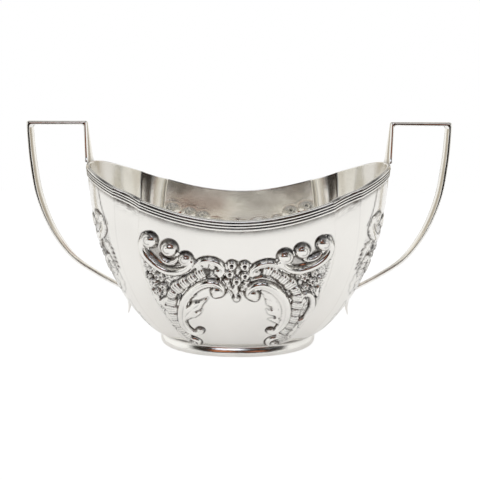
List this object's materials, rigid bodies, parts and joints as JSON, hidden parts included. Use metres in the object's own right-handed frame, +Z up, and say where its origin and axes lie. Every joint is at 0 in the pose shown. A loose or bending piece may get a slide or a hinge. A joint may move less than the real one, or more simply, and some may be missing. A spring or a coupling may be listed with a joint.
{
  "type": "sugar bowl",
  "caption": "Oval two-handled silver sugar bowl with chased scroll and flower panels, a reeded saddle rim, square-cornered strap handles and a low oval foot.",
  "frame": {"origin": "middle of the foot's underside, on the table", "axes": "+X from handle to handle, +Y across the bowl, +Z up"},
  "size_m": [0.1626, 0.0752, 0.0882],
  "materials": {
    "bowl_silver": "polished sterling silver, chased, with dark oxidised recesses and fine wear",
    "wire_silver": "polished reeded silver wire, dark between the reeds",
    "foot_silver": "polished silver, lightly scratched from use",
    "handle_silver": "polished silver strip, softly worn at the edges"
  },
  "bodies": {
    "root": {"body_shell": "bowl_silver", "rim_wire_front": "wire_silver", "rim_wire_back": "wire_silver", "foot_wire": "foot_silver", "foot_collet": "foot_silver", "handle_root_left": "handle_silver", "handle_bar_left": "handle_silver", "handle_strap_left": "handle_silver", "handle_tail_left": "handle_silver", "handle_root_right": "handle_silver", "handle_bar_right": "handle_silver", "handle_strap_right": "handle_silver", "handle_tail_right": "handle_silver"}
  },
  "joints": []
}
